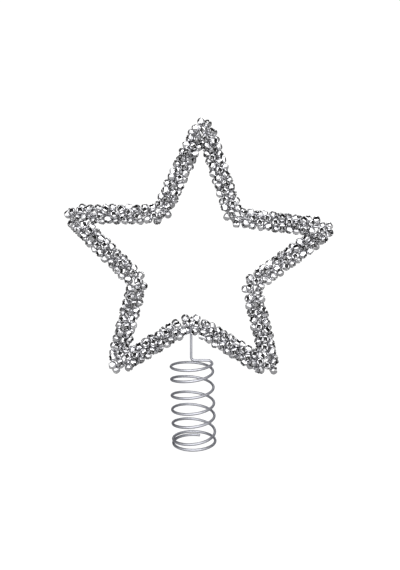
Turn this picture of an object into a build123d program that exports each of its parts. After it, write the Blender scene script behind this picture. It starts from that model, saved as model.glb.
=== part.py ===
from build123d import *
import math
import os
import numpy as np

os.makedirs("parts", exist_ok=True)

# Star outline: one wire bent by hand, lengths in millimetres and angles in degrees
star_points = 5
star_tip_radius = 108.4
star_notch_radius = 48.6
star_centre_height = 146.2
star_centre_aside = 1.5
star_lean = 2.4
tip_radius_shares = (1.036, 1.014, 0.973, 0.984, 1.004)
notch_radius_shares = (0.970, 0.975, 0.976, 1.012, 0.987)
tip_turn_shares = (0.014, 0.034, -0.032, -0.020, 0.012)
notch_turn_shares = (0.046, 0.059, 0.073, -0.079, -0.086)
frame_wire_dia = 1.6
tip_bend_radius = 2.8
notch_bend_radius = 2.2
frame_end_gap = 0.4
stem_notch = 2

# Mini bell: pressed shell with a square mouth, crossed slits and a flat eye
bell_dia = 6.35
bell_wall = 0.3
mouth_width = 2.6
slit_width = 0.55
slit_depth = 2.75
eye_thickness = 0.4
eye_rim = 0.4
eye_hole_dia = 0.8
eye_sink = 0.15
pellet_dia = 2.8
pellet_clearance = 0.08

# Binding wire: wound round the frame and through every bell's eye
binding_wire_dia = 0.4
binding_pitch = 6.0
binding_end_margin = 0.3
binding_overrun = 0.5
bells_per_turn = 4.6
wrap_clearance = 0.1
last_turn_share = 0.72

# Bedding of the bells: seeded tilt, then pushed apart until none touch
bed_seed = 4
bed_rounds = 560
thinning_from = 200
thinning_every = 5
most_overlap = 0.2
first_tilt = 13.0
most_tilt = 30.0
corner_tilt = 60.0
corner_most_tilt = 70.0
bell_clearance = 0.06
wire_clearance = 0.12
stem_clearance = 0.4

# Spring: one bent wire, coil below, radial arm, then the upright stem
spring_wire_dia = 2.0
coil_inner_dia = 31.5
coil_turns = 6.75
coil_lean = 1.9
open_pitch = 12.1
top_pitch = 6.2
closed_pitch = 2.9
top_eases_from = 0.6
top_eases_to = 1.1
closing_eases_from = 5.1
closing_eases_to = 5.9
coil_sag_shares = (0.0, 0.04, 0.0, 0.10, 0.07, 0.16, 0.08, 0.0, -0.09, 0.0, 0.0, 0.02, -0.09, 0.0)
arm_rise = 1.7
arm_bend_radius = 3.5
foot_bend_radius = 2.6

# Weld: one bead that joins the frame's two ends and the stem's top
weld_dia = 3.8
weld_drop = 0.9
weld_clearance = 0.03
stem_weld_clearance = 0.06

# Values worked out from the sizes above
overrun = 1.0
points_per_turn = 120
frame_r = frame_wire_dia / 2
bell_r = bell_dia / 2
eye_r = eye_hole_dia / 2 + eye_rim
binding_r = frame_r + wrap_clearance + eye_r
bell_reach = bell_r + eye_hole_dia / 2 + eye_rim / 2
spring_r = spring_wire_dia / 2
coil_r = (coil_inner_dia + spring_wire_dia) / 2
corner_step = math.pi / star_points
across = np.array((0.0, 1.0, 0.0))


def unit(v):
    return v / np.linalg.norm(v)


def ease(x):
    x = np.clip(x, 0.0, 1.0)
    return x * x * (3 - 2 * x)


# Corners of the star, clockwise from the top tip as seen from the front
def star_corner(k):
    tip = k % 2 == 0
    shares = tip_radius_shares if tip else notch_radius_shares
    turns = tip_turn_shares if tip else notch_turn_shares
    n = (k // 2) % len(shares)
    radius = (star_tip_radius if tip else star_notch_radius) * shares[n]
    angle = math.radians(star_lean) + (k + turns[n]) * corner_step
    x = star_centre_aside + radius * math.sin(angle)
    z = star_centre_height + radius * math.cos(angle)
    return np.array((x, 0.0, z))


corner_count = 2 * star_points
corners = [star_corner(k) for k in range(corner_count)]


class Corner:
    def __init__(self, k):
        here = corners[k]
        self.back = unit(corners[k - 1] - here)
        self.ahead = unit(corners[(k + 1) % corner_count] - here)
        self.radius = tip_bend_radius if k % 2 == 0 else notch_bend_radius
        half = math.acos(float(self.back @ self.ahead)) / 2
        self.away = -unit(self.back + self.ahead)
        self.tangent = self.radius / math.tan(half)
        self.centre = here - self.away * self.radius / math.sin(half)
        self.first = here + self.back * self.tangent
        self.last = here + self.ahead * self.tangent
        self.apex = self.centre + self.away * self.radius
        self.half_arc = self.radius * (math.pi / 2 - half)


bends = [Corner(k) for k in range(corner_count)]


# Wire helpers: arcs through two points with their tangents, and a round tube along them
def arc_edge(a, peak, b):
    middle = (a + b) / 2
    rise = np.linalg.norm(peak - middle)
    half = np.linalg.norm(b - a) / 2
    if rise < half / points_per_turn**2:
        return Edge.make_line(Vector(*a), Vector(*b))
    bulge = half * math.tan(math.atan2(rise, half) / 2)
    top = middle + (peak - middle) / rise * bulge
    return Edge.make_three_point_arc(Vector(*a), Vector(*top), Vector(*b))


def biarc(a, a_dir, b, b_dir):
    gap = b - a
    both = a_dir + b_dir
    bend = 2 * (1 - float(a_dir @ b_dir))
    along = float(gap @ both)
    span = float(gap @ gap)
    if bend < 1 / points_per_turn**3:
        reach = span / (2 * along)
    else:
        reach = (math.sqrt(along * along + bend * span) - along) / bend
    first = a + reach * a_dir
    second = b - reach * b_dir
    joint = (first + second) / 2
    return [arc_edge(a, first, joint), arc_edge(joint, second, b)]


def biarcs(points, ways):
    edges = []
    for n in range(len(points) - 1):
        edges += biarc(points[n], ways[n], points[n + 1], ways[n + 1])
    return edges


def tube(edges, radius):
    route = Wire(edges)
    start = Plane(origin=route @ 0, z_dir=route % 0)
    return sweep(start * Circle(radius), path=route).solid()


def self_gap(points, dia):
    steps = np.linalg.norm(np.diff(points, axis=0), axis=1)
    far = np.concatenate(([0.0], np.cumsum(steps)))
    apart = np.linalg.norm(points[:, None] - points[None], axis=2)
    apart[np.abs(far[:, None] - far[None]) < 3 * dia] = np.inf
    return float(apart.min()) - dia


# Star frame: straight runs and bends, its ends meeting at the stem's notch
stem_corner = 2 * stem_notch + 1
seat = bends[stem_corner]
frame_edges = []
start_turn = frame_end_gap / 2 / notch_bend_radius
swing = seat.half_arc / notch_bend_radius


def on_seat(turn):
    side = unit(np.cross(across, seat.away))
    side = side if side @ seat.ahead > 0 else -side
    return seat.centre + notch_bend_radius * (math.cos(turn) * seat.away + math.sin(turn) * side)


def three(a, b, c):
    return Edge.make_three_point_arc(Vector(*a), Vector(*b), Vector(*c))


frame_edges.append(three(on_seat(start_turn), on_seat((start_turn + swing) / 2), seat.last))
for n in range(1, corner_count):
    bend = bends[(stem_corner + n) % corner_count]
    before = bends[(stem_corner + n - 1) % corner_count]
    frame_edges.append(Edge.make_line(Vector(*before.last), Vector(*bend.first)))
    frame_edges.append(three(bend.first, bend.apex, bend.last))
frame_edges.append(Edge.make_line(Vector(*bends[stem_corner - 1].last), Vector(*seat.first)))
frame_edges.append(three(seat.first, on_seat(-(start_turn + swing) / 2), on_seat(-start_turn)))
star_frame = tube(frame_edges, frame_r)
export_step(star_frame, "parts/star_frame.step")


# Each side of each point: a run from the tip to its notch, with the way out of the star
class Side:
    def __init__(self, tip, turn):
        self.tip = bends[tip]
        self.notch = bends[(tip + turn) % corner_count]
        self.start = self.tip.last if turn > 0 else self.tip.first
        end = self.notch.first if turn > 0 else self.notch.last
        self.length = float(np.linalg.norm(end - self.start))
        self.way = (end - self.start) / self.length
        self.out = unit(np.cross(self.way, across))
        self.out = self.out if self.out @ self.tip.away > 0 else -self.out
        self.owns_tip = turn > 0
        at_weld = self.notch is seat
        margin = weld_dia / 2 + wire_clearance if at_weld else binding_end_margin
        self.end = self.length - margin
        self.last = self.end - binding_overrun
        turns = round((self.last + self.tip.half_arc) / binding_pitch - last_turn_share) + last_turn_share
        self.pitch = (self.last + self.tip.half_arc) / turns
        self.first = -self.tip.half_arc + (0.0 if self.owns_tip else self.pitch / 4)
        self.begin = self.first - binding_overrun
        self.phase = 2 * math.pi * self.tip.half_arc / self.pitch

    def frame(self, s):
        turn = np.minimum(s, 0.0) / tip_bend_radius
        cos, sin = np.cos(turn)[:, None], np.sin(turn)[:, None]
        out = cos * self.out + sin * self.way
        way = cos * self.way - sin * self.out
        on_bend = self.start - tip_bend_radius * self.out + tip_bend_radius * out
        return on_bend + np.maximum(s, 0.0)[:, None] * self.way, way, out

    def winding(self, s):
        point, way, out = self.frame(s)
        turn = 2 * math.pi * s / self.pitch + self.phase
        ray = np.cos(turn)[:, None] * out + np.sin(turn)[:, None] * np.cross(way, out)
        return point + binding_r * ray, ray

    def winding_way(self, s):
        small = binding_pitch / points_per_turn / 10
        way = self.winding(s + small)[0] - self.winding(s - small)[0]
        return way / np.linalg.norm(way, axis=1)[:, None]


sides = []
for point in range(star_points):
    sides.append(Side(2 * point, 1))
    sides.append(Side((2 * point + 2) % corner_count, -1))

# First places of the bells on their windings, evenly spaced and tilted by chance
chance = np.random.default_rng(bed_seed)
side_of, place = [], []
for n, side in enumerate(sides):
    count = int(round((side.last - side.first) / side.pitch * bells_per_turn)) + 1
    side_of += [n] * count
    place += list(np.linspace(side.first, side.last, count))
side_of, place = np.array(side_of), np.array(place)
lowest = np.array([sides[n].first for n in side_of])
last = np.array([sides[n].last for n in side_of])
fixed = place == lowest


def loops_at(place):
    spot, ray, way = np.zeros((len(place), 3)), np.zeros((len(place), 3)), np.zeros((len(place), 3))
    for n, side in enumerate(sides):
        mine = side_of == n
        spot[mine], ray[mine] = side.winding(place[mine])
        way[mine] = side.winding_way(place[mine])
    return spot, ray, way


def lengths(v):
    return np.linalg.norm(v, axis=-1, keepdims=True)


def held_in(aim, ray, tilt):
    aim = aim / lengths(aim)
    lean = np.clip((aim * ray).sum(1, keepdims=True), -1.0, 1.0)
    aside = aim - lean * ray
    aside = aside / np.maximum(lengths(aside), 1 / points_per_turn**3)
    kept = np.minimum(np.arccos(lean), np.radians(tilt))
    return np.cos(kept) * ray + np.sin(kept) * aside


def corner_share(place, last):
    return np.clip(1 - (last - place) / bell_dia, 0.0, 1.0)[:, None]


def tilt_limit(place, last):
    return most_tilt + (corner_most_tilt - most_tilt) * corner_share(place, last)


spot, ray, way = loops_at(place)
swing = np.radians(first_tilt) * np.sqrt(chance.random((len(place), 1)))
spin = 2 * math.pi * chance.random((len(place), 1))
aim = np.cos(swing) * ray + np.sin(swing) * (np.cos(spin) * way + np.sin(spin) * np.cross(ray, way))
for n, side in enumerate(sides):
    mine = side_of == n
    inward = (1 - ray[mine] @ side.out)[:, None] / 2
    lean = corner_tilt * inward * corner_share(place[mine], last[mine])
    aim[mine] += np.tan(np.radians(lean)) * side.way
aim = held_in(aim, ray, tilt_limit(place, last))

# What the bells keep clear of: the frame with its winding, the stem and the weld
weld_middle = seat.apex - np.array((0.0, 0.0, weld_drop))
stem_x = float(seat.apex[0])
seat_slope = abs(float(seat.ahead[2] / seat.ahead[0]))
stem_top = float(seat.apex[2]) - frame_r - weld_clearance - spring_r * seat_slope
run_points = []
for side in sides:
    steps = np.arange(-side.tip.half_arc, side.length, frame_wire_dia)
    run_points.append(side.frame(steps)[0])
run_points = np.concatenate(run_points)
wire_away = bell_r + binding_r + binding_wire_dia / 2 + wire_clearance
stem_away = bell_r + spring_r + stem_clearance
weld_away = bell_r + weld_dia / 2 + wire_clearance
bell_away = bell_dia + bell_clearance


def stem_near(centre):
    near = centre.copy()
    near[:, 0] = stem_x
    near[:, 1] = 0.0
    near[:, 2] = np.minimum(centre[:, 2], stem_top)
    return near


def pushes(centre):
    apart = centre[:, None] - centre[None]
    far = lengths(apart)[..., 0]
    np.fill_diagonal(far, np.inf)
    short = np.maximum(bell_away + bell_clearance - far, 0.0)
    push = (apart / far[..., None] * (short / 2)[..., None]).sum(1)
    for points, keep in ((run_points, wire_away), (weld_middle[None], weld_away)):
        apart = centre[:, None] - points[None]
        far = lengths(apart)[..., 0]
        near = far.argmin(1)
        rows = np.arange(len(centre))
        short = np.maximum(keep + bell_clearance - far[rows, near], 0.0)
        push += apart[rows, near] / far[rows, near][:, None] * short[:, None]
    apart = centre - stem_near(centre)
    far = lengths(apart)
    push += apart / far * np.maximum(stem_away + bell_clearance - far, 0.0)
    return push


places_tried = len(place)
for step in range(bed_rounds):
    push = pushes(spot + bell_reach * aim)
    crowd = lengths(push)[:, 0]
    if step > thinning_from and step % thinning_every == 0 and crowd.max() > most_overlap:
        stay = np.arange(len(place)) != crowd.argmax()
        side_of, place, fixed, lowest, last = side_of[stay], place[stay], fixed[stay], lowest[stay], last[stay]
        spot, ray, way, aim, push = spot[stay], ray[stay], way[stay], aim[stay], push[stay]
    slid = np.clip(place + (push * way).sum(1) / 4, lowest, last)
    place = np.where(fixed, place, slid)
    wanted = spot + bell_reach * aim + push / 2
    spot, ray, way = loops_at(place)
    aim = held_in(wanted - spot, ray, tilt_limit(place, last))
centre = spot + bell_reach * aim

# Bells that found no room are left off, the most crowded first
kept = np.ones(len(place), bool)
eye_away = bell_r + eye_r + wire_clearance / 2


def crowding(kept):
    rows = np.flatnonzero(kept)
    far = lengths(centre[rows][:, None] - centre[rows][None])[..., 0]
    np.fill_diagonal(far, np.inf)
    bad = np.maximum(bell_away - far, 0.0).sum(1)
    far = lengths(centre[rows][:, None] - spot[rows][None])[..., 0]
    np.fill_diagonal(far, np.inf)
    short = np.maximum(eye_away - far, 0.0)
    bad += short.sum(1) + short.sum(0)
    far = lengths(spot[rows][:, None] - spot[rows][None])[..., 0]
    np.fill_diagonal(far, np.inf)
    bad += np.maximum(2 * eye_r + wire_clearance / 2 - far, 0.0).sum(1)
    for points, keep in ((run_points, wire_away), (weld_middle[None], weld_away)):
        far = lengths(centre[rows][:, None] - points[None])[..., 0].min(1)
        bad += np.maximum(keep - wire_clearance / 2 - far, 0.0)
    far = lengths(centre[rows] - stem_near(centre[rows]))[:, 0]
    bad += np.maximum(stem_away - far, 0.0)
    return rows, bad


rows, bad = crowding(kept)
while bad.max() > 0:
    kept[rows[bad.argmax()]] = False
    rows, bad = crowding(kept)
rows = np.flatnonzero(kept)
far = lengths(centre[rows][:, None] - centre[rows][None])[..., 0]
np.fill_diagonal(far, np.inf)
print("bells", len(rows), "of", places_tried, "places, least gap", round(float(far.min()) - bell_dia, 3))

# One bell about its own middle: mouth towards +Z and the eye below it
shell = Sphere(bell_r) - Sphere(bell_r - bell_wall)
mouth = Box(mouth_width, mouth_width, bell_r + overrun, align=(Align.CENTER, Align.CENTER, Align.MIN))
slit_height = slit_depth + overrun
slit_middle = bell_r - slit_depth + slit_height / 2
slit = Pos(0, 0, slit_middle) * Box(slit_width, bell_dia + overrun, slit_height)
crossed = Rot(0, 0, 90) * slit
shell = shell - mouth - slit - crossed
eye_base = bell_reach - bell_r + eye_sink
eye = Rot(0, 90, 0) * Cylinder(eye_r, eye_thickness)
eye += Box(eye_thickness, 2 * eye_r, eye_base, align=(Align.CENTER, Align.CENTER, Align.MIN))
eye -= Rot(0, 90, 0) * Cylinder(eye_hole_dia / 2, eye_thickness + overrun)
bell = (shell + Pos(0, 0, -bell_reach) * eye).solid()
pellet = Sphere(pellet_dia / 2).solid()
pellet_drop = bell_r - bell_wall - pellet_dia / 2 - pellet_clearance

# Bells, pellets and binding wire of each side of the star
least = []
for n, side in enumerate(sides):
    name = f"{n + 1:02d}"
    bells, pellets = [], []
    for k in rows[side_of[rows] == n]:
        square = way[k] - (way[k] @ aim[k]) * aim[k]
        spot_plane = Plane(origin=tuple(centre[k]), x_dir=tuple(square), z_dir=tuple(aim[k]))
        bells.append(bell.moved(spot_plane.location))
        pellets.append(pellet.moved(Pos(*centre[k]) * Pos(0, 0, -pellet_drop)))
    export_step(Compound(bells), f"parts/bells_side_{name}.step", write_pcurves=False)
    export_step(Compound(pellets), f"parts/pellets_side_{name}.step")
    quarters = int(round((side.end - side.begin) / side.pitch * 4))
    steps = np.linspace(side.begin, side.end, quarters + 1)
    winding = tube(biarcs(side.winding(steps)[0], side.winding_way(steps)), binding_wire_dia / 2)
    export_step(winding, f"parts/binding_wire_{name}.step")
    fine = np.linspace(side.begin, side.end, quarters * 12)
    least.append(self_gap(side.winding(fine)[0], binding_wire_dia))
    turns = quarters / 4
print("bells per side", [int((side_of[rows] == n).sum()) for n in range(len(sides))])
print("binding wire: turns", turns, "least gap to itself", round(min(least), 2))

# Coil route from the top down: turns counted from where the arm leaves
bend_in = coil_r - arm_bend_radius
leave = math.asin(arm_bend_radius / bend_in)
turn_grid = np.linspace(0.0, coil_turns, int(coil_turns * points_per_turn) + 1)


def pitch_at(turn):
    rise = ease((turn - top_eases_from) / (top_eases_to - top_eases_from))
    close = ease((turn - closing_eases_from) / (closing_eases_to - closing_eases_from))
    opened = top_pitch + (open_pitch - top_pitch) * rise
    return opened + (closed_pitch - opened) * close


pitch_grid = pitch_at(turn_grid)
falls = (pitch_grid[1:] + pitch_grid[:-1]) / 2 * np.diff(turn_grid)
drop_grid = np.concatenate(([0.0], np.cumsum(falls)))
coil_top = spring_r + drop_grid[-1]
lean_share = math.tan(math.radians(coil_lean))


def coil_sag(turn):
    front = 1 / 4 - leave / (2 * math.pi)
    table = np.array(coil_sag_shares)
    place = np.clip(2 * (turn - front), 0.0, len(table) - 1)
    low = np.minimum(np.floor(place), len(table) - 2).astype(int)
    share = ease(place - low)
    return open_pitch * (table[low] * (1 - share) + table[low + 1] * share)


def coil_point(turn):
    angle = -leave - 2 * math.pi * turn
    z = coil_top - np.interp(turn, turn_grid, drop_grid) - coil_sag(turn)
    x = coil_r * np.cos(angle) - lean_share * z
    return np.stack((x, coil_r * np.sin(angle), z), axis=-1)


def coil_way(turn):
    small = 1 / points_per_turn
    way = coil_point(np.minimum(turn + small, coil_turns)) - coil_point(np.maximum(turn - small, 0.0))
    return -way / lengths(way)


quarters = int(math.ceil(coil_turns * 4))
stops = np.linspace(coil_turns, 0.0, quarters + 1)
coil_points, coil_ways = coil_point(stops), coil_way(stops)

# Bend from the coil into the radial arm, climbing to the arm's height
arm_z = coil_top + arm_rise
bend_middle = np.array((bend_in * math.cos(leave) - lean_share * coil_top, -arm_bend_radius, 0.0))
bend_turn = math.pi / 2 + leave
climb_start = math.tan(math.asin(coil_ways[-1][2])) * arm_bend_radius * bend_turn


def bend_point(share):
    angle = -leave + bend_turn * share
    flat = bend_middle + arm_bend_radius * np.array((math.cos(angle), math.sin(angle), 0.0))
    climb = ease(share) * arm_rise + climb_start * share * (1 - share) ** 2
    return flat + np.array((0.0, 0.0, coil_top + climb))


def bend_way(share):
    small = 1 / points_per_turn**2
    return unit(bend_point(share + small) - bend_point(share - small))


bend_points = [bend_point(share) for share in (0.5, 1.0)]
bend_ways = [bend_way(0.5), np.array((-1.0, 0.0, 0.0))]
arm_start = bend_points[-1] + spring_wire_dia * bend_ways[-1]
coil_edges = biarcs(list(coil_points) + bend_points, list(coil_ways) + bend_ways)
coil_edges.append(Edge.make_line(Vector(*bend_points[-1]), Vector(*arm_start)))
spring_coil = tube(coil_edges, spring_r)
export_step(spring_coil, "parts/spring_coil.step")
coil_fine = coil_point(np.linspace(coil_turns, 0.0, int(coil_turns * points_per_turn)))
print("spring coil: turns", coil_turns, "least gap to itself", round(self_gap(coil_fine, spring_wire_dia), 2))

# Arm: the straight radial run that twists as the star nods
foot_x = stem_x + foot_bend_radius
arm_end = np.array((foot_x, arm_start[1], arm_z))
spring_arm = tube([Edge.make_line(Vector(*arm_start), Vector(*arm_end))], spring_r)
export_step(spring_arm, "parts/spring_arm.step")

# Stem: the foot bend and the upright run to the weld
foot_top = np.array((stem_x, arm_start[1], arm_z + foot_bend_radius))
foot_corner = np.array((stem_x, arm_start[1], arm_z))
stem_end = np.array((stem_x, arm_start[1], stem_top))
stem_edges = [arc_edge(arm_end, foot_corner, foot_top)]
stem_edges.append(Edge.make_line(Vector(*foot_top), Vector(*stem_end)))
spring_stem = tube(stem_edges, spring_r)
export_step(spring_stem, "parts/spring_stem.step")

# Weld bead over the frame's ends and the stem's top
bead = Pos(*weld_middle) * Sphere(weld_dia / 2)
whole_frame = tube(frame_edges, frame_r + weld_clearance)
stem_room = Cylinder(spring_r + stem_weld_clearance, weld_dia, align=(Align.CENTER, Align.CENTER, Align.MAX))
bead = bead - whole_frame - Pos(stem_x, 0, stem_top + stem_weld_clearance) * stem_room
export_step(bead.solid(), "parts/weld_bead.step")

# Measures
print("nodes", 3 * len(sides) + 5)
print("arm height", round(arm_z, 2), "stem from", round(stem_x, 2), "to", round(stem_top, 2))
print("arm from", round(float(arm_start[0]), 2), "to", round(foot_x, 2))
print("coil inner radius", round(coil_r - spring_r, 2), "coil centre at top", round(-lean_share * coil_top, 2))
outer = bell_r + centre[rows].max(0)
inner = centre[rows].min(0) - bell_r
print("star from", [round(float(v), 1) for v in inner], "to", [round(float(v), 1) for v in outer])
print("overall height", round(float(outer[2]), 1))
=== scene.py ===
import bpy
import math
import numpy as np
from mathutils import Matrix, Vector


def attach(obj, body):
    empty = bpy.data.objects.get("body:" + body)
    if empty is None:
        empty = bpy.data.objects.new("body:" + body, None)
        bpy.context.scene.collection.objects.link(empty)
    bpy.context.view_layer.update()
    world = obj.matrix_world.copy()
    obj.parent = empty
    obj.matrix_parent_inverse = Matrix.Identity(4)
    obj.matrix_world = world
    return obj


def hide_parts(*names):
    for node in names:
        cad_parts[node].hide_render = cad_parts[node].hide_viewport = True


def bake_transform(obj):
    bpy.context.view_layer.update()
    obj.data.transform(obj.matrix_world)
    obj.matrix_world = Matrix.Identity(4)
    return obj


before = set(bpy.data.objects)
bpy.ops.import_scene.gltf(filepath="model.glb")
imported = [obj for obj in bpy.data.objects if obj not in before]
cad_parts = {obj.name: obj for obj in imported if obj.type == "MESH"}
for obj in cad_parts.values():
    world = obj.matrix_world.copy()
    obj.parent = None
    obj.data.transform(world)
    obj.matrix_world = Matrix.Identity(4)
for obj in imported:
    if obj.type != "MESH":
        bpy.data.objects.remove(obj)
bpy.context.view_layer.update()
mm = 0.001
print("frame loaded", len(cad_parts), "nodes")


# small helpers
def linkObject(name, data):
    obj = bpy.data.objects.new(name, data)
    bpy.context.scene.collection.objects.link(obj)
    return obj


def meshFrom(name, verts, faces):
    mesh = bpy.data.meshes.new(name)
    mesh.from_pydata([tuple(v) for v in verts], [], faces)
    mesh.update()
    mesh.polygons.foreach_set("use_smooth", [True] * len(mesh.polygons))
    return mesh


def addNode(tree, kind, at=(0, 0), **values):
    node = tree.nodes.new(kind)
    node.location = at
    for name, value in values.items():
        setattr(node, name, value)
    return node


def setInput(node, name, value):
    node.inputs[name].default_value = value


def addInputs(tree, rows):
    sockets = {}
    for name, kind, value in rows:
        socket = tree.interface.new_socket(name=name, in_out="INPUT", socket_type=kind)
        if value is not None:
            socket.default_value = value
        sockets[name] = socket.identifier
    return sockets


def addOutputs(tree, rows):
    for name, kind in rows:
        tree.interface.new_socket(name=name, in_out="OUTPUT", socket_type=kind)


def bakeNodes(obj, name):
    bpy.context.view_layer.update()
    depsgraph = bpy.context.evaluated_depsgraph_get()
    mesh = bpy.data.meshes.new_from_object(obj.evaluated_get(depsgraph), depsgraph=depsgraph)
    mesh.name = name
    bpy.data.objects.remove(obj)
    return linkObject(name, mesh)


def unit(v):
    return v / np.linalg.norm(v)


# shared shader effect: clouds of dull metal, with fine grain as height
tarnishLook = {
    "cloudDetail": 4.0,
    "cloudRoughness": 0.6,
    "grainDetail": 2.0,
    "grainFineness": 5.0,
    "dullFrom": 0.42,
    "dullTo": 0.72,
}


def tarnishGroup():
    group = bpy.data.node_groups.new("tarnish", "ShaderNodeTree")
    addInputs(group, (
        ("Scale", "NodeSocketFloat", 300.0),
        ("Amount", "NodeSocketFloat", 0.3),
        ("Clean Colour", "NodeSocketColor", (0.8, 0.8, 0.8, 1.0)),
        ("Dull Colour", "NodeSocketColor", (0.4, 0.4, 0.4, 1.0)),
        ("Clean Roughness", "NodeSocketFloat", 0.15),
        ("Dull Roughness", "NodeSocketFloat", 0.4),
    ))
    addOutputs(group, (
        ("Colour", "NodeSocketColor"),
        ("Roughness", "NodeSocketFloat"),
        ("Height", "NodeSocketFloat"),
    ))
    start = addNode(group, "NodeGroupInput", (-900, 0))
    end = addNode(group, "NodeGroupOutput", (700, 0))
    place = addNode(group, "ShaderNodeTexCoord", (-900, -300))
    cloud = addNode(group, "ShaderNodeTexNoise", (-600, 0))
    setInput(cloud, "Detail", tarnishLook["cloudDetail"])
    setInput(cloud, "Roughness", tarnishLook["cloudRoughness"])
    fine = addNode(group, "ShaderNodeTexNoise", (-600, -300))
    setInput(fine, "Detail", tarnishLook["grainDetail"])
    finer = addNode(group, "ShaderNodeMath", (-750, -300), operation="MULTIPLY")
    finer.inputs[1].default_value = tarnishLook["grainFineness"]
    ramp = addNode(group, "ShaderNodeMapRange", (-350, 0))
    setInput(ramp, "From Min", tarnishLook["dullFrom"])
    setInput(ramp, "From Max", tarnishLook["dullTo"])
    strength = addNode(group, "ShaderNodeMath", (-150, 0), operation="MULTIPLY")
    tint = addNode(group, "ShaderNodeMix", (200, 100), data_type="RGBA")
    rough = addNode(group, "ShaderNodeMix", (200, -150), data_type="FLOAT")
    link = group.links.new
    link(place.outputs["Object"], cloud.inputs["Vector"])
    link(place.outputs["Object"], fine.inputs["Vector"])
    link(start.outputs["Scale"], cloud.inputs["Scale"])
    link(start.outputs["Scale"], finer.inputs[0])
    link(finer.outputs[0], fine.inputs["Scale"])
    link(cloud.outputs["Fac"], ramp.inputs["Value"])
    link(ramp.outputs["Result"], strength.inputs[0])
    link(start.outputs["Amount"], strength.inputs[1])
    link(strength.outputs[0], tint.inputs["Factor"])
    link(strength.outputs[0], rough.inputs["Factor"])
    link(start.outputs["Clean Colour"], tint.inputs["A"])
    link(start.outputs["Dull Colour"], tint.inputs["B"])
    link(start.outputs["Clean Roughness"], rough.inputs["A"])
    link(start.outputs["Dull Roughness"], rough.inputs["B"])
    link(tint.outputs["Result"], end.inputs["Colour"])
    link(rough.outputs["Result"], end.inputs["Roughness"])
    link(fine.outputs["Fac"], end.inputs["Height"])
    return group


tarnish = tarnishGroup()


def metalFinish(name, finish):
    material = bpy.data.materials.new(name)
    material.use_nodes = True
    tree = material.node_tree
    shader = tree.nodes["Principled BSDF"]
    setInput(shader, "Metallic", 1.0)
    worn = addNode(tree, "ShaderNodeGroup", (-500, 100), name="worn", node_tree=tarnish)
    setInput(worn, "Scale", finish["patchScale"])
    setInput(worn, "Amount", finish["patchAmount"])
    setInput(worn, "Clean Colour", (*finish["clean"], 1.0))
    setInput(worn, "Dull Colour", (*finish["dull"], 1.0))
    setInput(worn, "Clean Roughness", finish["cleanRoughness"])
    setInput(worn, "Dull Roughness", finish["dullRoughness"])
    bump = addNode(tree, "ShaderNodeBump", (-250, -300))
    setInput(bump, "Strength", finish["bumpStrength"])
    setInput(bump, "Distance", finish["bumpDepth"])
    link = tree.links.new
    link(worn.outputs["Height"], bump.inputs["Height"])
    link(bump.outputs["Normal"], shader.inputs["Normal"])
    link(worn.outputs["Roughness"], shader.inputs["Roughness"])
    link(worn.outputs["Colour"], shader.inputs["Base Color"])
    return material


# star outline, the same sizes as the solid parts
starLine = {
    "points": 5,
    "tipRadius": 108.4 * mm,
    "notchRadius": 48.6 * mm,
    "centre": (1.5 * mm, 146.2 * mm),
    "lean": 2.4,  # degrees
    "tipShares": (1.036, 1.014, 0.973, 0.984, 1.004),
    "notchShares": (0.970, 0.975, 0.976, 1.012, 0.987),
    "tipTurns": (0.014, 0.034, -0.032, -0.020, 0.012),  # in steps from tip to notch
    "notchTurns": (0.046, 0.059, 0.073, -0.079, -0.086),
    "tipBend": 2.8 * mm,
    "notchBend": 2.2 * mm,
    "seatCorner": 5,  # the notch that the stem holds
}


def starCorner(k):
    kind = "tip" if k % 2 == 0 else "notch"
    n = k // 2
    radius = starLine[kind + "Radius"] * starLine[kind + "Shares"][n]
    turn = starLine[kind + "Turns"][n]
    angle = math.radians(starLine["lean"]) + (k + turn) * math.pi / starLine["points"]
    x, z = starLine["centre"]
    return np.array((x + radius * math.sin(angle), 0.0, z + radius * math.cos(angle)))


cornerCount = 2 * starLine["points"]
corners = [starCorner(k) for k in range(cornerCount)]


def cornerBend(k):
    here = corners[k]
    back = unit(corners[k - 1] - here)
    ahead = unit(corners[(k + 1) % cornerCount] - here)
    radius = starLine["tipBend"] if k % 2 == 0 else starLine["notchBend"]
    half = math.acos(float(back @ ahead)) / 2
    away = -unit(back + ahead)
    reach = radius / math.tan(half)
    return {
        "first": here + back * reach,
        "last": here + ahead * reach,
        "away": away,
        "centre": here - away * radius / math.sin(half),
        "halfArc": radius * (math.pi / 2 - half),
        "radius": radius,
    }


bends = [cornerBend(k) for k in range(cornerCount)]
seat = bends[starLine["seatCorner"]]
seatApex = seat["centre"] + seat["radius"] * seat["away"]
print("star outline", cornerCount, "corners, stem at", round(seatApex[0] / mm, 2))


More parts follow.
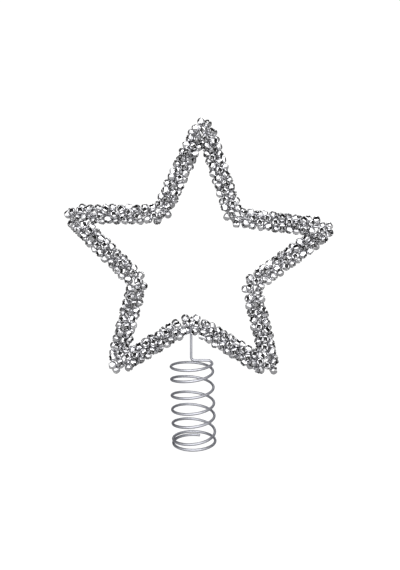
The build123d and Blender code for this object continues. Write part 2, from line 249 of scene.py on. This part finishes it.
# round wires: a path swept by nodes
def wireNodes():
    tree = bpy.data.node_groups.new("roundWire", "GeometryNodeTree")
    sockets = addInputs(tree, (
        ("Geometry", "NodeSocketGeometry", None),
        ("Wire Radius", "NodeSocketFloat", 1.0 * mm),
        ("Wire Sides", "NodeSocketInt", 12),
        ("Finish", "NodeSocketMaterial", None),
    ))
    addOutputs(tree, (("Geometry", "NodeSocketGeometry"),))
    start = addNode(tree, "NodeGroupInput", (-700, 0))
    toCurve = addNode(tree, "GeometryNodeMeshToCurve", (-500, 100))
    outline = addNode(tree, "GeometryNodeCurvePrimitiveCircle", (-500, -150))
    sweep = addNode(tree, "GeometryNodeCurveToMesh", (-250, 0))
    setInput(sweep, "Fill Caps", True)
    soft = addNode(tree, "GeometryNodeSetShadeSmooth", (-50, 0))
    real = addNode(tree, "GeometryNodeRealizeInstances", (120, 0))
    paint = addNode(tree, "GeometryNodeSetMaterial", (300, 0))
    end = addNode(tree, "NodeGroupOutput", (480, 0))
    link = tree.links.new
    link(start.outputs["Geometry"], toCurve.inputs["Mesh"])
    link(start.outputs["Wire Radius"], outline.inputs["Radius"])
    link(start.outputs["Wire Sides"], outline.inputs["Resolution"])
    link(toCurve.outputs["Curve"], sweep.inputs["Curve"])
    link(outline.outputs["Curve"], sweep.inputs["Profile Curve"])
    link(sweep.outputs["Mesh"], soft.inputs["Geometry"])
    link(soft.outputs["Geometry"], real.inputs["Geometry"])
    link(real.outputs["Geometry"], paint.inputs["Geometry"])
    link(start.outputs["Finish"], paint.inputs["Material"])
    link(paint.outputs["Geometry"], end.inputs["Geometry"])
    return tree, sockets


wireTree, wireSockets = wireNodes()


def wirePiece(name, path, radius, sides, finish):
    mesh = bpy.data.meshes.new(name + "Path")
    mesh.from_pydata([tuple(p) for p in path], [(n, n + 1) for n in range(len(path) - 1)], [])
    obj = linkObject(name + "Path", mesh)
    swept = obj.modifiers.new("roundWire", "NODES")
    swept.node_group = wireTree
    swept[wireSockets["Wire Radius"]] = radius
    swept[wireSockets["Wire Sides"]] = sides
    swept[wireSockets["Finish"]] = finish
    return bakeNodes(obj, name)


# spring: coil, arm and stem
spring = {
    "wireRadius": 1.0 * mm,
    "seenRadius": 1.06 * mm,
    "innerDia": 31.5 * mm,
    "turns": 6.75,
    "lean": 1.9,  # degrees
    "openPitch": 12.1 * mm,
    "topPitch": 6.2 * mm,
    "closedPitch": 2.9 * mm,
    "topEases": (0.6, 1.1),  # in turns from the top
    "closingEases": (5.1, 5.9),
    "sagsPerTurn": 2,
    "firstSag": 0.25,
    "sagShares": (0.0, 0.04, 0.0, 0.10, 0.07, 0.16, 0.08, 0.0, -0.09, 0.0, 0.0, 0.02, -0.09, 0.0),
    "armRise": 1.7 * mm,
    "armBend": 3.5 * mm,
    "armLift": 0.37 * mm,
    "bendTail": 2.0 * mm,
    "footBend": 2.6 * mm,
    "stemDrop": 1.5 * mm,
    "stepsPerTurn": 72,
    "bendSteps": 24,
    "footSteps": 13,
    "stemSteps": 18,
    "sides": 14,
}
springFinish = {
    "patchScale": 260.0,
    "patchAmount": 0.3,
    "clean": (0.47, 0.475, 0.515),
    "dull": (0.34, 0.345, 0.375),
    "rim": (0.42, 0.42, 0.45),
    "cleanRoughness": 0.5,
    "dullRoughness": 0.58,
    "bumpStrength": 0.08,
    "bumpDepth": 0.00004,
}
springMetal = metalFinish("springWire", springFinish)
springShader = springMetal.node_tree.nodes["Principled BSDF"]
setInput(springShader, "Specular Tint", (*springFinish["rim"], 1.0))


def ease(x):
    x = np.clip(x, 0.0, 1.0)
    return x * x * (3 - 2 * x)


def easeOver(x, span):
    return ease((x - span[0]) / (span[1] - span[0]))


def springRoute():
    radius = spring["innerDia"] / 2 + spring["wireRadius"]
    bendIn = radius - spring["armBend"]
    leave = math.asin(spring["armBend"] / bendIn)
    lean = math.tan(math.radians(spring["lean"]))
    turn = np.linspace(0.0, spring["turns"], int(spring["turns"] * spring["stepsPerTurn"]) + 1)
    opening = easeOver(turn, spring["topEases"])
    opened = spring["topPitch"] + (spring["openPitch"] - spring["topPitch"]) * opening
    closing = easeOver(turn, spring["closingEases"])
    pitch = opened + (spring["closedPitch"] - opened) * closing
    drop = np.concatenate(([0.0], np.cumsum((pitch[1:] + pitch[:-1]) / 2 * np.diff(turn))))
    top = spring["wireRadius"] + drop[-1]
    # hand-wound turns sit a little high or low, by a share of the pitch at each half turn
    shares = np.array(spring["sagShares"])
    place = spring["sagsPerTurn"] * (turn - spring["firstSag"] + leave / (2 * math.pi))
    place = np.clip(place, 0.0, len(shares) - 1)
    low = np.minimum(np.floor(place), len(shares) - 2).astype(int)
    sag = shares[low] + (shares[low + 1] - shares[low]) * ease(place - low)
    z = top - drop - spring["openPitch"] * sag
    angle = -leave - 2 * math.pi * turn
    coil = np.stack((radius * np.cos(angle) - lean * z, radius * np.sin(angle), z), axis=-1)[::-1]
    # the top turn bends in to the arm
    armZ = top + spring["armRise"]
    middle = np.array((bendIn * math.cos(leave) - lean * top, -spring["armBend"]))
    share = np.linspace(0.0, 1.0, spring["bendSteps"])[1:]
    swing = -leave + (math.pi / 2 + leave) * share
    climb = ease(share) * spring["armRise"] + spring["armLift"] * share * (1 - share) ** 2
    bendX = middle[0] + spring["armBend"] * np.cos(swing)
    bendY = middle[1] + spring["armBend"] * np.sin(swing)
    bend = np.stack((bendX, bendY, top + climb), axis=-1)
    armStart = bend[-1] - np.array((spring["bendTail"], 0.0, 0.0))
    # the arm runs to the star's middle and turns up as the stem
    footX = seatApex[0]
    armEnd = np.array((footX + spring["footBend"], 0.0, armZ))
    foot = []
    for a in np.linspace(0.0, math.pi / 2, spring["footSteps"]):
        footZ = armZ + spring["footBend"] * (1 - math.cos(a))
        foot.append(np.array((footX + spring["footBend"] * (1 - math.sin(a)), 0.0, footZ)))
    stemTop = seatApex[2] - spring["stemDrop"]
    rise = np.linspace(foot[-1][2], stemTop, spring["stemSteps"])[1:]
    stem = foot + [np.array((footX, 0.0, h)) for h in rise]
    arm = np.array((armStart, (armStart + armEnd) / 2, armEnd))
    return np.vstack((coil, bend, armStart[None])), arm, np.array(stem), armZ


coilRoute, armRoute, stemRoute, armZ = springRoute()
springCoil = wirePiece("springCoil", coilRoute, spring["seenRadius"], spring["sides"], springMetal)
springArm = wirePiece("springArm", armRoute, spring["seenRadius"], spring["sides"], springMetal)
springStem = wirePiece("springStem", stemRoute, spring["seenRadius"], spring["sides"], springMetal)
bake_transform(springCoil)
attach(springArm, "arm")
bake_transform(springStem)
for piece, node in (
    (springCoil, "spring_coil"),
    (springArm, "spring_arm"),
    (springStem, "spring_stem"),
):
    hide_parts(node)
print("spring made, arm at", round(armZ / mm, 2))


# binding wire round each side of the star
binding = {
    "wireRadius": 0.2 * mm,
    "windRadius": 1.7 * mm,
    "pitch": 6.0 * mm,
    "endMargin": 0.3 * mm,
    "weldMargin": 2.02 * mm,
    "overrun": 0.5 * mm,
    "lastTurnShare": 0.72,
    "stepsPerTurn": 16,
    "sides": 6,
}
bindingFinish = dict(
    springFinish,
    clean=(0.66, 0.66, 0.68),
    dull=(0.42, 0.42, 0.43),
    cleanRoughness=0.22,
)
bindingMetal = metalFinish("bindingWire", bindingFinish)


def windingRoute(tip, turn):
    tipBend = bends[tip]
    notch = bends[(tip + turn) % cornerCount]
    start = tipBend["last"] if turn > 0 else tipBend["first"]
    end = notch["first"] if turn > 0 else notch["last"]
    length = float(np.linalg.norm(end - start))
    way = (end - start) / length
    out = unit(np.cross(way, (0.0, 1.0, 0.0)))
    out = out if out @ tipBend["away"] > 0 else -out
    last = length - (binding["weldMargin"] if notch is seat else binding["endMargin"])
    reach = last - binding["overrun"] + tipBend["halfArc"]
    lastShare = binding["lastTurnShare"]
    pitch = reach / (round(reach / binding["pitch"] - lastShare) + lastShare)
    # of the two wires that meet at a tip, one starts a quarter turn on
    first = -tipBend["halfArc"] + (0.0 if turn > 0 else pitch / 4) - binding["overrun"]
    s = np.linspace(first, last, int((last - first) / pitch * binding["stepsPerTurn"]))
    radius = tipBend["radius"]
    swing = np.minimum(s, 0.0) / radius
    outs = np.cos(swing)[:, None] * out + np.sin(swing)[:, None] * way
    ways = np.cos(swing)[:, None] * way - np.sin(swing)[:, None] * out
    line = start - radius * out + radius * outs + np.maximum(s, 0.0)[:, None] * way
    angle = 2 * math.pi * (s + tipBend["halfArc"]) / pitch
    ray = np.cos(angle)[:, None] * outs + np.sin(angle)[:, None] * np.cross(ways, outs)
    return line + binding["windRadius"] * ray


sideEnds = []
for point in range(starLine["points"]):
    sideEnds += [(2 * point, 1), ((2 * point + 2) % cornerCount, -1)]
for n, (tip, turn) in enumerate(sideEnds):
    name = f"bindingWire{n + 1:02d}"
    route = windingRoute(tip, turn)
    piece = wirePiece(name, route, binding["wireRadius"], binding["sides"], bindingMetal)
    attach(piece, "star")
    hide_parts(f"binding_wire_{n + 1:02d}")
print("binding wires made")

# frame wire and weld keep their solid shape, with their own finish
frameFinish = dict(
    springFinish,
    clean=(0.52, 0.52, 0.54),
    dull=(0.30, 0.30, 0.31),
    cleanRoughness=0.3,
)
weldFinish = dict(
    springFinish,
    clean=(0.42, 0.41, 0.41),
    dull=(0.22, 0.20, 0.19),
    cleanRoughness=0.4,
    bumpStrength=0.6,
)
frameMetal = metalFinish("frameWire", frameFinish)
weldMetal = metalFinish("weldBead", weldFinish)
for node, metal in (("star_frame", frameMetal), ("weld_bead", weldMetal)):
    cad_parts[node].data.materials.clear()
    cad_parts[node].data.materials.append(metal)


# bells: places read from the solids, one shape set on them by nodes
bell = {
    "radius": 3.45 * mm,
    "mouthHalf": 2.0 * mm,
    "mouthPower": 2.3,
    "slitHalf": 0.45 * mm,
    "slitTaper": 0.7,
    "slitMost": 0.7,
    "slitEnd": 100.0,  # degrees from the mouth, as the dome's
    "lipDepth": 0.4 * mm,
    "lipIn": 0.2 * mm,
    "petalFlat": 0.3,
    "petals": 4,
    "petalColumns": 3,
    "petalRows": 3,
    "domeAngles": (128.0,),
    "solidRadius": 3.175 * mm,
    "solidSlack": 0.02 * mm,
    "eyeReach": 3.775 * mm,
    "eyeRadius": 0.8 * mm,
    "eyeHole": 0.4 * mm,
    "eyeThick": 0.4 * mm,
    "eyeSides": 6,
    "askew": 34.0,  # degrees
    "seatReach": 10.0 * mm,
    "seatLean": 42.0,  # degrees
    "seed": 5,
    "toneSeed": 4,
}
bellFinish = {
    "patchScale": 300.0,
    "patchAmount": 0.35,
    "clean": (0.93, 0.93, 0.95),
    "dull": (0.62, 0.62, 0.64),
    # painted shade: the darker colour given to the inside of each bell shell
    "insideShade": (0.30, 0.30, 0.305),
    "cleanRoughness": 0.10,
    "dullRoughness": 0.24,
    "bumpStrength": 0.05,
    "bumpDepth": 0.00006,
    "darkestTone": 0.66,
}


def mouthEdge(turn):
    # a mouth a little squarer than a circle
    power = bell["mouthPower"]
    spread = abs(math.cos(turn)) ** power + abs(math.sin(turn)) ** power
    return math.asin(bell["mouthHalf"] / spread ** (1 / power) / bell["radius"])


def bellShape():
    r = bell["radius"]
    petals, cols, rows = bell["petals"], bell["petalColumns"], bell["petalRows"]
    petalSpan = 2 * math.pi / petals
    slitEnd = math.radians(bell["slitEnd"])
    verts, faces = [], []

    def put(polar, turn):
        flat = bell["petalFlat"] * math.sin(petals / 2 * turn) ** 2 * math.sin(polar) ** 2
        wide = r * (1 - flat * (0.5 + 0.5 * math.cos(polar))) * math.sin(polar)
        verts.append((wide * math.cos(turn), wide * math.sin(turn), r * math.cos(polar)))
        return len(verts) - 1

    ring = [put(slitEnd, 2 * math.pi * n / (petals * cols)) for n in range(petals * cols)]
    for petal in range(petals):
        lines = []
        for row in range(rows):
            line = []
            for col in range(cols + 1):
                mouth = mouthEdge(petalSpan * (petal + col / cols))
                polar = mouth + (slitEnd - mouth) * row / rows
                half = bell["slitHalf"] * (1 - row / rows) ** bell["slitTaper"]
                edge = math.asin(min(half / (r * math.sin(polar)), bell["slitMost"]))
                turn = petalSpan * petal + edge + (petalSpan - 2 * edge) * col / cols
                line.append(put(polar, turn))
            lines.append(line)
        # the mouth's rim is rolled in
        lip = []
        for index in lines[0]:
            x, y, z = verts[index]
            inward = 1 - bell["lipIn"] / math.hypot(x, y)
            verts.append((x * inward, y * inward, z - bell["lipDepth"]))
            lip.append(len(verts) - 1)
        lines.append([ring[(petal * cols + col) % len(ring)] for col in range(cols + 1)])
        for upper, lower in zip([lip] + lines[:-1], lines):
            for col in range(cols):
                faces.append((upper[col], lower[col], lower[col + 1], upper[col + 1]))
    for polar in bell["domeAngles"]:
        below = [put(math.radians(polar), 2 * math.pi * n / len(ring)) for n in range(len(ring))]
        for n in range(len(ring)):
            m = (n + 1) % len(ring)
            faces.append((ring[n], below[n], below[m], ring[m]))
        ring = below
    pole = put(math.pi, 0.0)
    for n in range(len(ring)):
        faces.append((ring[n], pole, ring[(n + 1) % len(ring)]))
    return meshFrom("bellShape", verts, faces)


def eyeShape():
    # a flat ring that the binding wire goes through, square to X
    profile = ((bell["eyeHole"], 0.0), (bell["eyeRadius"], 1.0), (bell["eyeRadius"], -1.0))
    sides = bell["eyeSides"]
    verts, faces, lines = [], [], []
    for n in range(sides):
        a = 2 * math.pi * n / sides
        line = []
        for wide, face in profile:
            x = face * bell["eyeThick"] / 2
            verts.append((x, wide * math.sin(a), wide * math.cos(a) - bell["eyeReach"]))
            line.append(len(verts) - 1)
        lines.append(line)
    for n in range(sides):
        here, there = lines[n], lines[(n + 1) % sides]
        for k in range(len(profile)):
            m = (k + 1) % len(profile)
            faces.append((here[k], here[m], there[m], there[k]))
    return meshFrom("eyeShape", verts, faces)


# pellet loose in each bell
pellet = {
    "radius": 1.4 * mm,
    "drop": 1.395 * mm,
    "apart": 3.22 * mm,
    "segments": 8,
    "rings": 5,
}
pelletFinish = dict(
    springFinish,
    clean=(0.26, 0.26, 0.265),
    dull=(0.18, 0.18, 0.18),
    cleanRoughness=0.4,
)


def pelletShape():
    verts, faces = [(0.0, 0.0, pellet["radius"])], []
    count = pellet["segments"]
    for ring in range(1, pellet["rings"]):
        polar = math.pi * ring / pellet["rings"]
        wide, z = pellet["radius"] * math.sin(polar), pellet["radius"] * math.cos(polar)
        for n in range(count):
            turn = 2 * math.pi * n / count
            verts.append((wide * math.cos(turn), wide * math.sin(turn), z))
    verts.append((0.0, 0.0, -pellet["radius"]))
    for n in range(count):
        m = (n + 1) % count
        faces.append((0, 1 + n, 1 + m))
        for ring in range(pellet["rings"] - 2):
            a, b = 1 + ring * count, 1 + (ring + 1) * count
            faces.append((a + n, b + n, b + m, a + m))
        last = 1 + (pellet["rings"] - 2) * count
        faces.append((last + n, len(verts) - 1, last + m))
    return meshFrom("pelletShape", verts, faces)


def nodeTriangles(name):
    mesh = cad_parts[name].data
    co = np.empty(len(mesh.vertices) * 3, np.float32)
    mesh.vertices.foreach_get("co", co)
    mesh.calc_loop_triangles()
    index = np.empty(len(mesh.loop_triangles) * 3, np.int32)
    mesh.loop_triangles.foreach_get("vertices", index)
    return co.reshape(-1, 3)[index.reshape(-1, 3)].astype(float)


def pelletMiddles(name):
    # the centre of the sphere through each pellet's points
    triangles = nodeTriangles(name)
    middles = triangles.mean(1)
    free = np.ones(len(middles), bool)
    found = []
    while free.any():
        seed = middles[free.argmax()]
        mine = free & (np.linalg.norm(middles - seed, axis=1) < pellet["apart"])
        points = triangles[mine].reshape(-1, 3)
        system = np.c_[2 * points, np.ones(len(points))]
        fit = np.linalg.lstsq(system, (points**2).sum(1), rcond=None)[0]
        found.append(fit[:3])
        free &= ~mine
    return np.array(found)


def bellPlaces(side):
    pellets = pelletMiddles(f"pellets_side_{side}")
    centres = pellets + np.array((0.0, 0.0, pellet["drop"]))
    middles = nodeTriangles(f"bells_side_{side}").mean(1)
    far = np.linalg.norm(middles[:, None] - centres[None], axis=2)
    nearest, least = far.argmin(1), far.min(1)
    onShell = least < bell["solidRadius"] + bell["solidSlack"]
    turns, eyeTurns = [], []
    for k, centre in enumerate(centres):
        rows = np.flatnonzero(onShell & (nearest == k))
        block = np.arange(rows.min(), rows.max() + 1)
        eye = middles[block][~onShell[block]]
        hold = eye.mean(0)
        aim = unit(centre - hold)
        # bells next to the stem lean in over it
        toSeat = seatApex - hold
        near = max(0.0, 1 - np.linalg.norm(toSeat) / bell["seatReach"])
        across = unit(toSeat - (toSeat @ aim) * aim)
        lean = math.tan(math.radians(bell["seatLean"])) * near * across
        shift = np.linalg.norm(centre - hold) * (unit(aim + lean) - aim)
        centres[k] += shift
        pellets[k] += shift
        spread = eye - hold
        thin = np.linalg.eigh(spread.T @ spread)[1][:, 0]
        thin = unit(thin - (thin @ aim) * aim)
        turn = Matrix((thin, np.cross(aim, thin), aim)).transposed()
        eyeTurns.append(tuple(turn.to_euler()))
        # the shell sits askew on its eye
        swing = 2 * math.pi * chance.random()
        askew = math.radians(bell["askew"]) * math.sqrt(chance.random())
        axis = Vector((math.cos(swing), math.sin(swing), 0.0))
        spin = Matrix.Rotation(2 * math.pi * chance.random(), 3, "Z")
        turns.append(tuple((turn @ Matrix.Rotation(askew, 3, axis) @ spin).to_euler()))
    return centres, turns, eyeTurns, pellets


def scatterNodes():
    tree = bpy.data.node_groups.new("setOnPlaces", "GeometryNodeTree")
    sockets = addInputs(tree, (
        ("Geometry", "NodeSocketGeometry", None),
        ("Shape", "NodeSocketObject", None),
        ("Foot", "NodeSocketObject", None),
        ("Tone Seed", "NodeSocketInt", 1),
        ("Finish", "NodeSocketMaterial", None),
    ))
    addOutputs(tree, (("Geometry", "NodeSocketGeometry"),))
    start = addNode(tree, "NodeGroupInput", (-800, 0))
    shape = addNode(tree, "GeometryNodeObjectInfo", (-550, -200))
    named = "GeometryNodeInputNamedAttribute"
    turn = addNode(tree, named, (-550, -400), data_type="FLOAT_VECTOR")
    setInput(turn, "Name", "turn")
    foot = addNode(tree, "GeometryNodeObjectInfo", (-550, -600))
    footTurn = addNode(tree, named, (-550, -800), data_type="FLOAT_VECTOR")
    setInput(footTurn, "Name", "footTurn")
    place = addNode(tree, "GeometryNodeInstanceOnPoints", (-300, 100))
    placeFoot = addNode(tree, "GeometryNodeInstanceOnPoints", (-300, -100))
    both = addNode(tree, "GeometryNodeJoinGeometry", (-180, 0))
    tone = addNode(tree, "FunctionNodeRandomValue", (-300, -350), data_type="FLOAT")
    keep = addNode(tree, "GeometryNodeStoreNamedAttribute", (-80, 0), data_type="FLOAT")
    keep.domain = "INSTANCE"
    setInput(keep, "Name", "tone")
    real = addNode(tree, "GeometryNodeRealizeInstances", (120, 0))
    paint = addNode(tree, "GeometryNodeSetMaterial", (300, 0))
    end = addNode(tree, "NodeGroupOutput", (480, 0))
    link = tree.links.new
    link(start.outputs["Geometry"], place.inputs["Points"])
    link(start.outputs["Shape"], shape.inputs["Object"])
    link(shape.outputs["Geometry"], place.inputs["Instance"])
    link(turn.outputs["Attribute"], place.inputs["Rotation"])
    link(start.outputs["Geometry"], placeFoot.inputs["Points"])
    link(start.outputs["Foot"], foot.inputs["Object"])
    link(foot.outputs["Geometry"], placeFoot.inputs["Instance"])
    link(footTurn.outputs["Attribute"], placeFoot.inputs["Rotation"])
    link(placeFoot.outputs["Instances"], both.inputs["Geometry"])
    link(place.outputs["Instances"], both.inputs["Geometry"])
    link(start.outputs["Tone Seed"], tone.inputs["Seed"])
    link(both.outputs["Geometry"], keep.inputs["Geometry"])
    link(tone.outputs["Value"], keep.inputs["Value"])
    link(keep.outputs["Geometry"], real.inputs["Geometry"])
    link(real.outputs["Geometry"], paint.inputs["Geometry"])
    link(start.outputs["Finish"], paint.inputs["Material"])
    link(paint.outputs["Geometry"], end.inputs["Geometry"])
    return tree, sockets


scatterTree, scatterSockets = scatterNodes()


def scatterPiece(name, places, turns, shape, seed, finish, footTurns=None, foot=None):
    mesh = bpy.data.meshes.new(name + "Places")
    mesh.from_pydata([tuple(p) for p in places], [], [])
    footTurns = turns if footTurns is None else footTurns
    for label, values in (("turn", turns), ("footTurn", footTurns)):
        attribute = mesh.attributes.new(label, "FLOAT_VECTOR", "POINT")
        attribute.data.foreach_set("vector", np.array(values, np.float32).ravel())
    obj = linkObject(name + "Places", mesh)
    placed = obj.modifiers.new("setOnPlaces", "NODES")
    placed.node_group = scatterTree
    placed[scatterSockets["Shape"]] = shape
    if foot is not None:
        placed[scatterSockets["Foot"]] = foot
    placed[scatterSockets["Tone Seed"]] = seed
    placed[scatterSockets["Finish"]] = finish
    return bakeNodes(obj, name)


def bellMetal():
    material = metalFinish("bellPlating", bellFinish)
    tree = material.node_tree
    worn = tree.nodes["worn"]
    shader = tree.nodes["Principled BSDF"]
    # each bell a little lighter or darker than the next
    tone = addNode(tree, "ShaderNodeAttribute", (-700, 400), attribute_name="tone")
    spread = addNode(tree, "ShaderNodeMapRange", (-450, 400))
    setInput(spread, "To Min", bellFinish["darkestTone"])
    mixed = addNode(tree, "ShaderNodeMix", (-150, 250), data_type="RGBA", blend_type="MULTIPLY")
    setInput(mixed, "Factor", 1.0)
    link = tree.links.new
    link(tone.outputs["Fac"], spread.inputs["Value"])
    link(worn.outputs["Colour"], mixed.inputs["A"])
    link(spread.outputs["Result"], mixed.inputs["B"])
    # painted shade: the inside of the shell is painted darker, standing in for the shade in the
    # hollow
    insideShadeMask = addNode(tree, "ShaderNodeNewGeometry", (-450, 650))
    insideShade = addNode(tree, "ShaderNodeMix", (50, 350), data_type="RGBA")
    setInput(insideShade, "B", (*bellFinish["insideShade"], 1.0))
    link(insideShadeMask.outputs["Backfacing"], insideShade.inputs["Factor"])
    link(mixed.outputs["Result"], insideShade.inputs["A"])
    link(insideShade.outputs["Result"], shader.inputs["Base Color"])
    return material


bellObject = linkObject("bellShape", bellShape())
eyeObject = linkObject("eyeShape", eyeShape())
pelletObject = linkObject("pelletShape", pelletShape())
plating = bellMetal()
pelletMetal = metalFinish("pelletSteel", pelletFinish)
chance = np.random.default_rng(bell["seed"])
bellCount = 0
for n in range(len(sideEnds)):
    side = f"{n + 1:02d}"
    centres, turns, eyeTurns, pellets = bellPlaces(side)
    bellCount += len(centres)
    bells = scatterPiece(
        f"bellsSide{side}", centres, turns, bellObject,
        bell["toneSeed"] + n, plating, eyeTurns, eyeObject,
    )
    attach(bells, "star")
    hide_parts(f"bells_side_{side}")
    unturned = np.zeros((len(pellets), 3))
    loose = scatterPiece(f"pelletsSide{side}", pellets, unturned, pelletObject, n, pelletMetal)
    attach(loose, "star")
    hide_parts(f"pellets_side_{side}")
bellFaces = len(bellObject.data.polygons) + len(eyeObject.data.polygons)
print("bells", bellCount, "faces each", bellFaces)
for shape in (bellObject, eyeObject, pelletObject):
    bpy.data.objects.remove(shape)

# studio: pale sweep, soft boxes, a darker room for the metal to mirror
studio = {
    "floorHeight": -1.0 * mm,
    "halfWidth": 2.6,
    "front": -1.2,
    "back": 1.1,
    "backBend": 0.5,
    "height": 2.6,
    "bendSteps": 12,
    "paper": 0.10,
    "paperRoughness": 0.9,
    "floorGlow": 0.3,
    "backGlow": 0.05,
    "paperSeen": 1.0,
    "room": 0.09,
    "white": (1.0, 1.0, 1.0, 1.0),
    "lightAim": (0.0, 0.0, 0.15),
}


def sweepMesh():
    floor, back, bend = studio["floorHeight"], studio["back"], studio["backBend"]
    line = [(studio["front"], floor), (back - bend, floor)]
    for n in range(1, studio["bendSteps"] + 1):
        a = math.pi / 2 * n / studio["bendSteps"]
        line.append((back - bend * (1 - math.sin(a)), floor + bend * (1 - math.cos(a))))
    line.append((back, studio["height"]))
    verts, faces = [], []
    for y, z in line:
        verts += [(-studio["halfWidth"], y, z), (studio["halfWidth"], y, z)]
    for n in range(len(line) - 1):
        faces.append((2 * n, 2 * n + 1, 2 * n + 3, 2 * n + 2))
    return meshFrom("sweep", verts, faces)


sweepObject = linkObject("sweep", sweepMesh())
paper = bpy.data.materials.new("sweepPaper")
paper.use_nodes = True
paperTree = paper.node_tree
paperShader = paperTree.nodes["Principled BSDF"]
setInput(paperShader, "Base Color", (*[studio["paper"]] * 3, 1.0))
setInput(paperShader, "Roughness", studio["paperRoughness"])
setInput(paperShader, "Emission Color", studio["white"])
# white to the eye, while the glow that the metal mirrors fades up the back
seen = addNode(paperTree, "ShaderNodeLightPath", (-600, -200))
where = addNode(paperTree, "ShaderNodeTexCoord", (-1000, -450))
apart = addNode(paperTree, "ShaderNodeSeparateXYZ", (-800, -450))
climb = addNode(paperTree, "ShaderNodeMapRange", (-600, -450))
setInput(climb, "From Max", studio["backBend"])
setInput(climb, "To Min", studio["floorGlow"])
setInput(climb, "To Max", studio["backGlow"])
lit = addNode(paperTree, "ShaderNodeMapRange", (-350, -200))
setInput(lit, "To Max", studio["paperSeen"])
link = paperTree.links.new
link(where.outputs["Object"], apart.inputs["Vector"])
link(apart.outputs["Z"], climb.inputs["Value"])
link(climb.outputs["Result"], lit.inputs["To Min"])
link(seen.outputs["Is Camera Ray"], lit.inputs["Value"])
link(lit.outputs["Result"], paperShader.inputs["Emission Strength"])
sweepObject.data.materials.append(paper)

world = bpy.data.worlds.new("room")
bpy.context.scene.world = world
world.use_nodes = True
# the room is white to the eye and darker to the metal
roomTree = world.node_tree
roomShader = roomTree.nodes["Background"]
roomSeen = addNode(roomTree, "ShaderNodeLightPath", (-600, 0))
roomTone = addNode(roomTree, "ShaderNodeMapRange", (-350, 0))
setInput(roomTone, "To Min", studio["room"])
setInput(roomTone, "To Max", studio["paperSeen"])
setInput(roomShader, "Color", studio["white"])
roomTree.links.new(roomSeen.outputs["Is Camera Ray"], roomTone.inputs["Value"])
roomTree.links.new(roomTone.outputs["Result"], roomShader.inputs["Strength"])

softBoxes = {
    "topBox": {"at": (0.0, -0.5, 0.9), "size": (1.1, 0.6), "glow": 2.3},
    "leftBox": {"at": (-0.8, -0.5, 0.35), "size": (0.55, 0.8), "glow": 1.2},
    "rightBox": {"at": (0.8, -0.5, 0.35), "size": (0.5, 0.8), "glow": 1.0},
    "frontBox": {"at": (0.0, -0.9, 0.4), "size": (1.6, 1.1), "glow": 3.0},
    "backBox": {"at": (0.2, 0.8, 0.85), "size": (1.0, 0.5), "glow": 1.6},
}


def addSoftBox(name, values):
    data = bpy.data.lights.new(name, "AREA")
    data.shape = "RECTANGLE"
    data.size, data.size_y = values["size"]
    data.energy = values["glow"] * math.pi * data.size * data.size_y
    obj = linkObject(name, data)
    obj.location = values["at"]
    aim = Vector(studio["lightAim"]) - Vector(values["at"])
    obj.rotation_euler = aim.to_track_quat("-Z", "Y").to_euler()


for name, values in softBoxes.items():
    addSoftBox(name, values)
print("studio set")

# camera: level, at the distance that the coil's turns show
view = {
    "pixel": 0.8 * mm,
    "focalPixels": 534.0,
    "imageSize": (400, 570),
    "axisPixel": (200.0, 204.0),
    "originX": 194.45,
    "height": 192.9 * mm,
    "sensor": 36.0,
    "farClip": 20.0,
}
cameraData = bpy.data.cameras.new("camera")
cameraData.sensor_fit = "HORIZONTAL"
cameraData.sensor_width = view["sensor"]
cameraData.lens = view["sensor"] * view["focalPixels"] / view["imageSize"][0]
cameraData.shift_y = (view["axisPixel"][1] - view["imageSize"][1] / 2) / view["imageSize"][0]
cameraData.clip_end = view["farClip"]
camera = linkObject("camera", cameraData)
cameraX = (view["axisPixel"][0] - view["originX"]) * view["pixel"]
camera.location = (cameraX, -view["focalPixels"] * view["pixel"], view["height"])
camera.rotation_euler = (math.pi / 2, 0.0, 0.0)
bpy.context.scene.camera = camera
bpy.context.scene.view_settings.view_transform = "Standard"

print("scene ready")
